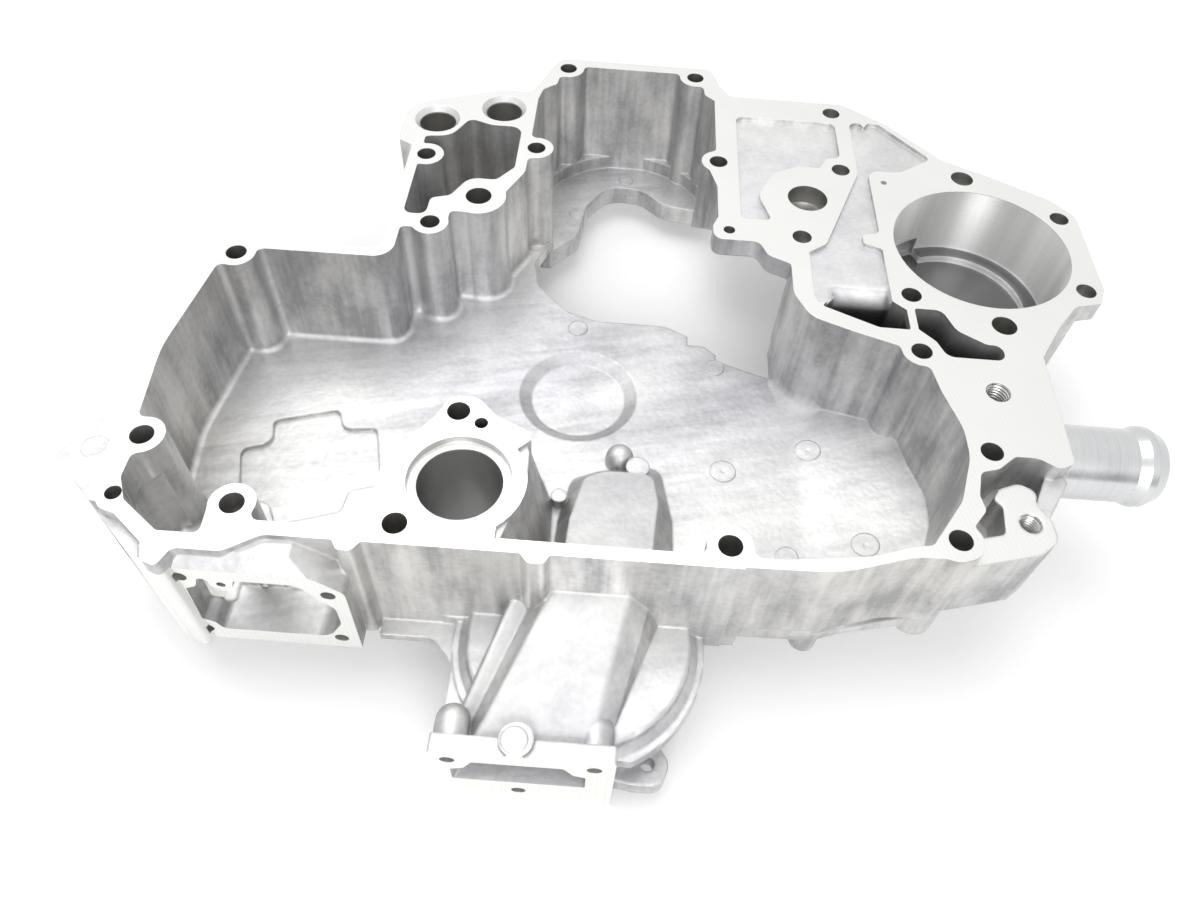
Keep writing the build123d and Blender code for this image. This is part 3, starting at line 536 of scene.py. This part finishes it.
def revolved(profile, steps):
    """A profile of (radius, height) pairs from the axis at the top to the axis below, turned about Z:
    point (r, h) becomes (r cos a, r sin a, h). Each end on the axis is one point."""
    radius, height = np.array(profile, float).T
    angle = np.arange(steps) * 2 * np.pi / steps
    rings = np.stack([np.outer(radius[1:-1], np.cos(angle)), np.outer(radius[1:-1], np.sin(angle)),
                      np.repeat(height[1:-1, None], steps, axis=1)], axis=-1).reshape(-1, 3)
    points = np.vstack([[0, 0, height[0]], rings, [0, 0, height[-1]]])
    row, step = np.meshgrid(np.arange(len(profile) - 3), np.arange(steps), indexing="ij")
    here = 1 + row * steps + step
    beside = 1 + row * steps + (step + 1) % steps
    quads = np.stack([here, here + steps, beside + steps, beside], axis=-1).reshape(-1, 4)
    around = np.arange(steps)
    after = (around + 1) % steps
    last = len(points) - 1
    foot = last - steps
    top = np.stack([np.zeros(steps, int), 1 + around, 1 + after], axis=-1)
    bottom = np.stack([np.full(steps, last), foot + after, foot + around], axis=-1)
    return points, top.tolist() + quads.tolist() + bottom.tolist()


def add_piece(name, points, faces, material):
    """A smooth mesh piece that rides on the case, with its place in its mesh."""
    mesh = bpy.data.meshes.new(name)
    mesh.from_pydata(points.tolist(), [], faces)
    mesh.shade_smooth()
    mesh.materials.append(material)
    piece = bpy.data.objects.new(name, mesh)
    bpy.context.scene.collection.objects.link(piece)
    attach(piece, "root")
    return piece


def mark_profile(radius, height, pip):
    """A low disc: its rim stands a little over its middle, and its foot lies in the casting. Points
    lie close together at each edge, so that smooth shading keeps the edge crisp."""
    dish = height * 0.6
    middle = [(0, dish)]
    if pip:
        middle = [(0, dish - PIP_DEPTH), (0.4, dish - PIP_DEPTH), (0.8, dish - 0.02)]
    rim = [(0.95, dish), (radius - 1.2, dish), (radius - 1.1, dish + 0.02),
           (radius - 0.8, height - 0.02), (radius - 0.7, height), (radius - 0.2, height),
           (radius - 0.1, height - 0.05), (radius, 0.0), (radius, MARK_FOOT), (0, MARK_FOOT)]
    return middle + rim


cast_marks = case_material("cast_marks", 0.0)
for name, centre, radius, height, pip, rise in MARKS:
    points, faces = revolved(mark_profile(radius, height, pip), MARK_STEPS)
    points[:, 2] += rise * points[:, 0]
    add_piece(name, (points + centre) * MM, faces, cast_marks)


# A short collar under the bracket plate lengthens its bore. It is cast with the plate and bored
# with it, so it is a ring with a round lower edge, whose top lies in the plate.
COLLAR_CENTRE = (141.7, 180.0)
COLLAR_STEPS = 64
COLLAR_PROFILE = [(9.62, -8.0), (9.62, -21.0), (10.2, -21.6), (12.4, -21.6), (13.4, -20.8),
                  (13.9, -19.0), (14.3, -8.0)]


def ring(profile, centre, steps):
    """A closed profile of (radius, height) pairs turned about an upright axis through the centre:
    point (r, h) becomes (x + r cos a, y + r sin a, h), as a grid closed both ways."""
    radius, height = np.array(profile, float).T
    angle = np.arange(steps) * 2 * np.pi / steps
    points = np.stack([centre[0] + np.outer(radius, np.cos(angle)),
                       centre[1] + np.outer(radius, np.sin(angle)),
                       np.repeat(height[:, None], steps, axis=1)], axis=-1).reshape(-1, 3)
    return points, closed_grid(len(profile), steps)


def closed_grid(rows, steps):
    """Faces of a grid of points that closes both ways. They face outwards where the profile's inner
    wall goes down."""
    row, step = np.meshgrid(np.arange(rows), np.arange(steps), indexing="ij")
    below = (row + 1) % rows
    beside = (step + 1) % steps
    return np.stack([row * steps + step, row * steps + beside, below * steps + beside,
                     below * steps + step], axis=-1).reshape(-1, 4).tolist()


points, faces = ring(COLLAR_PROFILE, COLLAR_CENTRE, COLLAR_STEPS)
add_piece("bracket_collar", points * MM, faces, cast_marks)


# The end port and the port in the lower tab are tapped for screwed plugs. Each thread is a closed
# ring in the drilled hole, whose outer wall lies in the metal.
THREADS = [
    # name, centre, radius, top, depth and pitch in mm
    ("end_port_thread", (210.5, 62.5), 5.1, -0.4, 17.6, 1.5),
    ("tab_port_thread", (213.0, 3.2), 4.3, -6.3, 19.7, 1.25),
]
THREAD_CUT = 0.6
THREAD_WALL = 0.4
THREAD_STEPS = 48
ROWS_PER_TURN = 8
THREAD_DULL = (0.52, 0.52, 0.51, 1)
THREAD_BRIGHT = (0.80, 0.80, 0.79, 1)


def thread_ring(centre, radius, top, depth, pitch):
    """A grid closed both ways. At height z and angle a the inner radius is R less the cut times a
    triangle wave of (z / pitch - a / 2 pi), which fades out over one turn at each end. The last two
    rows are the outer wall."""
    rows = int(depth / pitch * ROWS_PER_TURN)
    height = np.linspace(top, top - depth, rows)
    angle = np.arange(THREAD_STEPS) * 2 * np.pi / THREAD_STEPS
    turns = height[:, None] / pitch - angle[None, :] / (2 * np.pi)
    wave = 1 - np.abs(2 * (turns % 1) - 1)
    fade = np.clip(np.minimum(top - height, height - top + depth) / pitch, 0, 1)
    inner = radius - THREAD_CUT * wave * fade[:, None]
    outer = np.full((2, THREAD_STEPS), radius + THREAD_WALL)
    reach = np.vstack([inner, outer])
    level = np.repeat(np.concatenate([height, [top - depth, top]])[:, None], THREAD_STEPS, axis=1)
    points = np.stack([centre[0] + reach * np.cos(angle), centre[1] + reach * np.sin(angle), level],
                      axis=-1).reshape(-1, 3)
    return points, closed_grid(rows + 2, THREAD_STEPS)


def thread_material():
    """Freshly cut thread: bright flanks, with a fine drift of tone down the hole."""
    material = bpy.data.materials.new("cut_thread")
    material.use_nodes = True
    tree = material.node_tree
    shader = tree.nodes["Principled BSDF"]
    where = node(tree, "ShaderNodeTexCoord")
    scratches = node(tree, "ShaderNodeTexNoise", {"Vector": where.outputs["Object"], "Scale": 600,
                                                  "Detail": 3}).outputs["Fac"]
    tone = mix_colour(tree, scratches, THREAD_DULL, THREAD_BRIGHT)
    bump = node(tree, "ShaderNodeBump", {"Height": scratches, "Distance": 0.04 * MM, "Strength": 0.4})
    tree.links.new(tone, shader.inputs["Base Color"])
    tree.links.new(maths(tree, "MULTIPLY_ADD", scratches, 0.15, 0.22), shader.inputs["Roughness"])
    tree.links.new(bump.outputs[0], shader.inputs["Normal"])
    shader.inputs["Metallic"].default_value = 0.9
    return material


cut_thread = thread_material()
for name, *sizes in THREADS:
    points, faces = thread_ring(*sizes)
    add_piece(name, points * MM, faces, cut_thread)


# The hose spigot is a drawn aluminium tube, pressed into the end of the casting, with a bead
# rolled near its mouth so that the hose can't slip off. It is smoother and brighter than the case.
TUBE_DULL = (0.50, 0.51, 0.52, 1)
TUBE_BRIGHT = (0.76, 0.77, 0.77, 1)


def tube_material():
    """Bright drawn tube with faint rings round it."""
    material = bpy.data.materials.new("spigot_tube")
    material.use_nodes = True
    tree = material.node_tree
    shader = tree.nodes["Principled BSDF"]
    where = node(tree, "ShaderNodeTexCoord")
    split = node(tree, "ShaderNodeSeparateXYZ", {0: where.outputs["Object"]})
    rings = node(tree, "ShaderNodeTexNoise", {"W": split.outputs[0], "Scale": 900, "Detail": 3},
                 noise_dimensions="1D").outputs["Fac"]
    dull = node(tree, "ShaderNodeTexNoise", {"Vector": where.outputs["Object"], "Scale": 60,
                                             "Detail": 4}).outputs["Fac"]
    mixed = maths(tree, "MULTIPLY_ADD", dull, 0.5, maths(tree, "MULTIPLY", rings, 0.5))
    tone = mix_colour(tree, mixed, TUBE_DULL, TUBE_BRIGHT)
    bump = node(tree, "ShaderNodeBump", {"Height": rings, "Distance": 0.05 * MM, "Strength": 0.3})
    tree.links.new(tone, shader.inputs["Base Color"])
    tree.links.new(maths(tree, "MULTIPLY_ADD", dull, 0.2, 0.18), shader.inputs["Roughness"])
    tree.links.new(bump.outputs[0], shader.inputs["Normal"])
    shader.inputs["Metallic"].default_value = 0.95
    return material


hose_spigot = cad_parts["hose_spigot"]
hose_spigot.data.materials.clear()
hose_spigot.data.materials.append(tube_material())


# The case lies on a plain white sheet under soft studio light from above and a little behind, with
# a low soft light in front. The sheet and the room look white, also where the metal mirrors them, but
# for the darker stretch of room in front of the case, low over the sheet.
FLOOR_COLOUR = (0.93, 0.93, 0.93, 1)
FLOOR_HALF = 4.0
FLOOR_GLOW = 0.12
FAR_GLOW = 0.42
GLOW_REACH = (0.45, 1.6)
LAMPS = [
    # name, place, side of the square in m, power in W
    ("key", (-0.25, 0.45, 1.5), 1.3, 12.5),
    ("front", (0.15, -1.4, 0.68), 1.1, 17),
]
ROOM_LIGHT = 0.55
ROOM_SEEN = 1.0
SHADE_SHARE = 0.75
SHADE_HEIGHT = 0.12
SHADE_SPREAD = (0.40, 0.12)
SHADE_FRONT = (-0.25, -0.65)


def seen_rays(tree):
    """1 for rays from the camera, from a gloss or through glass, and 0 for all others."""
    path = node(tree, "ShaderNodeLightPath").outputs
    seen = maths(tree, "ADD", path["Is Camera Ray"], path["Is Glossy Ray"])
    return maths(tree, "MINIMUM", maths(tree, "ADD", seen, path["Is Transmission Ray"]), 1.0)


def floor_sheet(level):
    """A square white sheet at that height. It glows a little to what sees it, and more far off."""
    mesh = bpy.data.meshes.new("floor")
    corners = [(-FLOOR_HALF, -FLOOR_HALF, level), (FLOOR_HALF, -FLOOR_HALF, level),
               (FLOOR_HALF, FLOOR_HALF, level), (-FLOOR_HALF, FLOOR_HALF, level)]
    mesh.from_pydata(corners, [], [(0, 1, 2, 3)])
    sheet = bpy.data.objects.new("floor", mesh)
    material = bpy.data.materials.new("floor")
    material.use_nodes = True
    tree = material.node_tree
    shader = tree.nodes["Principled BSDF"]
    shader.inputs["Base Color"].default_value = FLOOR_COLOUR
    shader.inputs["Roughness"].default_value = 0.9
    shader.inputs["Specular IOR Level"].default_value = 0.1
    shader.inputs["Emission Color"].default_value = (1, 1, 1, 1)
    where = node(tree, "ShaderNodeTexCoord").outputs["Object"]
    away = node(tree, "ShaderNodeVectorMath", {0: where}, operation="LENGTH").outputs["Value"]
    glow = ranged(tree, away, *GLOW_REACH, FLOOR_GLOW, FAR_GLOW)
    tree.links.new(maths(tree, "MULTIPLY", seen_rays(tree), glow), shader.inputs["Emission Strength"])
    mesh.materials.append(material)
    bpy.context.scene.collection.objects.link(sheet)


def soft_lamp(name, place, target, size, power):
    """A square area lamp that points at a target."""
    data = bpy.data.lights.new(name, "AREA")
    data.size = size
    data.energy = power
    lamp = bpy.data.objects.new(name, data)
    away = Matrix.Translation(place).to_translation() - Matrix.Translation(target).to_translation()
    lamp.rotation_mode = "QUATERNION"
    lamp.rotation_quaternion = away.to_track_quat("Z", "Y")
    lamp.location = place
    bpy.context.scene.collection.objects.link(lamp)


def white_room():
    """A world of even light, whiter to what sees it. To gloss it is dim in the direction of -Y,
    close above the horizon."""
    world = bpy.data.worlds.new("studio")
    world.use_nodes = True
    tree = world.node_tree
    background = tree.nodes["Background"]
    background.inputs["Color"].default_value = (1, 1, 1, 1)
    direction = node(tree, "ShaderNodeTexCoord").outputs["Generated"]
    ahead = node(tree, "ShaderNodeSeparateXYZ", {0: direction}).outputs
    rise = maths(tree, "ABSOLUTE", maths(tree, "SUBTRACT", ahead[2], SHADE_HEIGHT))
    dusk = node(tree, "ShaderNodeLightPath").outputs["Is Glossy Ray"]
    for share in (ranged(tree, rise, *SHADE_SPREAD), ranged(tree, ahead[1], *SHADE_FRONT)):
        dusk = maths(tree, "MULTIPLY", dusk, share)
    light = maths(tree, "MULTIPLY_ADD", seen_rays(tree), ROOM_SEEN - ROOM_LIGHT, ROOM_LIGHT)
    dimmed = maths(tree, "MULTIPLY_ADD", dusk, -SHADE_SHARE, 1.0)
    tree.links.new(maths(tree, "MULTIPLY", light, dimmed), background.inputs["Strength"])
    return world


floor_sheet(cad_low.z)
middle = tuple((cad_low + cad_high) / 2)
for name, place, size, power in LAMPS:
    soft_lamp(name, place, middle, size, power)
bpy.context.scene.world = white_room()
bpy.context.scene.view_settings.view_transform = "Standard"
